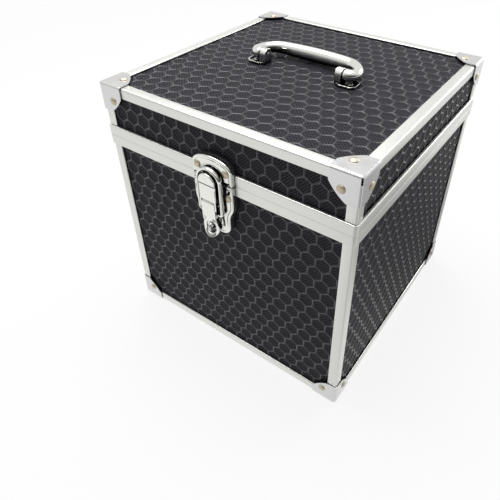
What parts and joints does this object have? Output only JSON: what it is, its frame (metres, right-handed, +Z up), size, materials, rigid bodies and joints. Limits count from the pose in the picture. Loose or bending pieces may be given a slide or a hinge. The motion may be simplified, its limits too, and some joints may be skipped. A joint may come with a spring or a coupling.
{
  "type": "record storage box",
  "caption": "Cube-shaped carrying case for small records: black board in aluminium edging, steel corner caps, hinged foam-lined lid, draw latch and folding handle.",
  "frame": {"origin": "under the middle of the whole object, on the plane that it stands on", "axes": "+Z up, +X to the right when facing the latch, +Y from the latch towards the hinges"},
  "size_m": [0.2296, 0.2478, 0.2421],
  "materials": {
    "laminate": "black film embossed with hexagons, over fibreboard",
    "aluminium": "drawn and satin anodised",
    "cap_steel": "pressed sheet steel, nickel plated, slightly cloudy",
    "chrome": "polished and bright chrome plated",
    "zinc": "zinc plated steel",
    "fastener": "pale brass plated domed heads",
    "backing": "moulded, plain",
    "felt": "matt black felt on card",
    "foam": "matt open-cell foam cut as egg crate"
  },
  "bodies": {
    "base": {"base_panel_front": "laminate", "base_panel_back": "laminate", "base_panel_left": "laminate", "base_panel_right": "laminate", "base_panel_bottom": "laminate", "base_rim": "aluminium", "base_edge_front_left": "aluminium", "base_cap_front_left": "cap_steel", "base_edge_front_right": "aluminium", "base_cap_front_right": "cap_steel", "base_edge_back_left": "aluminium", "base_cap_back_left": "cap_steel", "base_edge_back_right": "aluminium", "base_cap_back_right": "cap_steel", "base_edge_bottom_front": "aluminium", "base_edge_bottom_back": "aluminium", "base_edge_bottom_left": "aluminium", "base_edge_bottom_right": "aluminium", "base_lining": "felt", "hinge_left_base_leaf": "zinc", "hinge_left_pin": "zinc", "hinge_right_base_leaf": "zinc", "hinge_right_pin": "zinc", "latch_base_plate": "chrome", "latch_base_spacer": "backing", "latch_lever_pin": "zinc"},
    "lid": {"lid_panel_front": "laminate", "lid_panel_back": "laminate", "lid_panel_left": "laminate", "lid_panel_right": "laminate", "lid_panel_top": "laminate", "lid_rim": "aluminium", "lid_edge_front_left": "aluminium", "lid_cap_front_left": "cap_steel", "lid_edge_front_right": "aluminium", "lid_cap_front_right": "cap_steel", "lid_edge_back_left": "aluminium", "lid_cap_back_left": "cap_steel", "lid_edge_back_right": "aluminium", "lid_cap_back_right": "cap_steel", "lid_edge_top_front": "aluminium", "lid_edge_top_back": "aluminium", "lid_edge_top_left": "aluminium", "lid_edge_top_right": "aluminium", "lid_foam": "foam", "hinge_left_lid_leaf": "zinc", "hinge_right_lid_leaf": "zinc", "latch_lid_plate": "chrome", "latch_lid_spacer": "backing", "handle_bracket_left": "chrome", "handle_pin_left": "zinc", "handle_screw_left": "fastener", "handle_bracket_right": "chrome", "handle_pin_right": "zinc", "handle_screw_right": "fastener"},
    "handle": {"handle_bow": "chrome"},
    "lever": {"latch_lever": "chrome"},
    "bail": {"latch_bail": "chrome"}
  },
  "joints": [
    {"name": "lid_hinge", "type": "hinge", "parent": "base", "child": "lid", "pos_m": [0, 0.121, 0.18705], "axis": [-1, 0, 0], "range_deg": [0, 100]},
    {"name": "handle_swing", "type": "hinge", "parent": "lid", "child": "handle", "pos_m": [0, 0.00235, 0.2371], "axis": [1, 0, 0], "range_deg": [0, 178]},
    {"name": "lever_swing", "type": "hinge", "parent": "base", "child": "lever", "pos_m": [0, -0.1155, 0.16995], "axis": [-1, 0, 0], "range_deg": [0, 80]},
    {"name": "bail_swing", "type": "hinge", "parent": "lever", "child": "bail", "pos_m": [0, -0.1152, 0.1615], "axis": [1, 0, 0], "range_deg": [0, 240]}
  ],
  "couplings": [
    {"joint": "bail_swing", "follows": "lever_swing", "ratio": 3}
  ]
}
